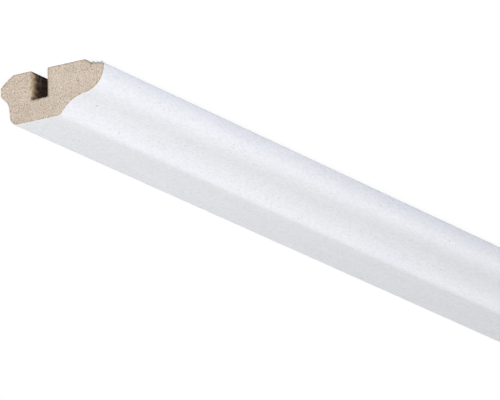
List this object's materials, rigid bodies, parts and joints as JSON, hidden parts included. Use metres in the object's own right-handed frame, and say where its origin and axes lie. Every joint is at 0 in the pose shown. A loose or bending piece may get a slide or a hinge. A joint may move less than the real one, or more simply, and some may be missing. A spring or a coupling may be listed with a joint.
{
  "type": "cornice moulding",
  "caption": "Length of ogee cornice moulding in foil-wrapped fibreboard, with a bevelled nose and a clip groove along its back, for the joint of wall and ceiling.",
  "frame": {"origin": "mid-length, in the middle of the overall width, on the plane of the back", "axes": "+X along the length, +Y across the width from the nose to the ogee, +Z from the back to the face"},
  "size_m": [2.6, 0.038, 0.0163],
  "materials": {
    "fibreboard": "matte",
    "white_foil": "satin"
  },
  "bodies": {
    "root": {"fibreboard_core": "fibreboard", "foil_wrap": "white_foil"}
  },
  "joints": []
}
